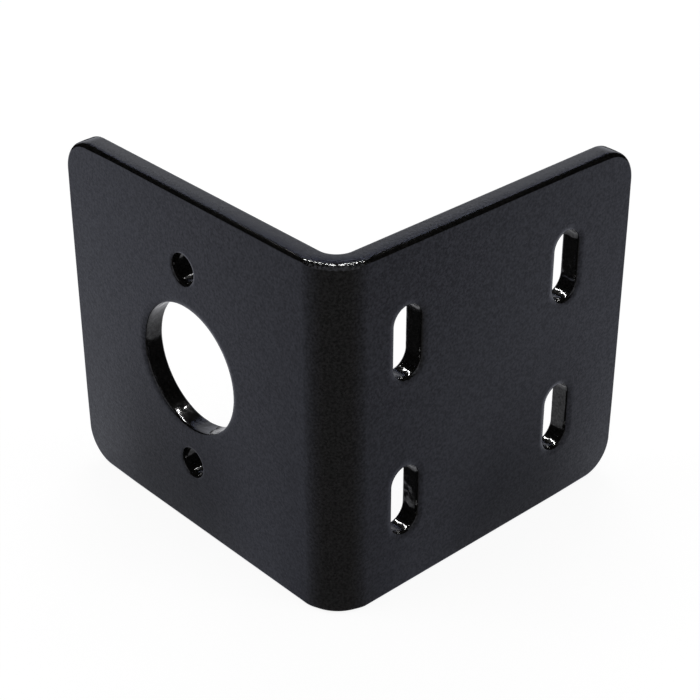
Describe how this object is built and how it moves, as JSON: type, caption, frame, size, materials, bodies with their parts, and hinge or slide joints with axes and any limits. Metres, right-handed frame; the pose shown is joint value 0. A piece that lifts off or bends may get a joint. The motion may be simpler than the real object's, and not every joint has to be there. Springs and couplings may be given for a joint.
{
  "type": "motor mounting bracket",
  "caption": "Right-angle bent plate bracket that holds a small face-mounted motor on one leg and bolts to a rail or panel through lengthwise slots in the other.",
  "frame": {"origin": "on the motor's shaft axis, at the centre of the pilot bore in the face of the motor leg that the motor seats on", "axes": "+X along the shaft axis into the inside of the angle, -Y towards the base leg's outer face, Z along the bend; it stands on the edges of both legs, as a blanked and bent plate does on a bench"},
  "size_m": [0.052, 0.052, 0.05],
  "materials": {
    "black_coat": "semi-gloss black powder coat over bent steel plate"
  },
  "bodies": {
    "root": {"bracket": "black_coat"}
  },
  "joints": []
}
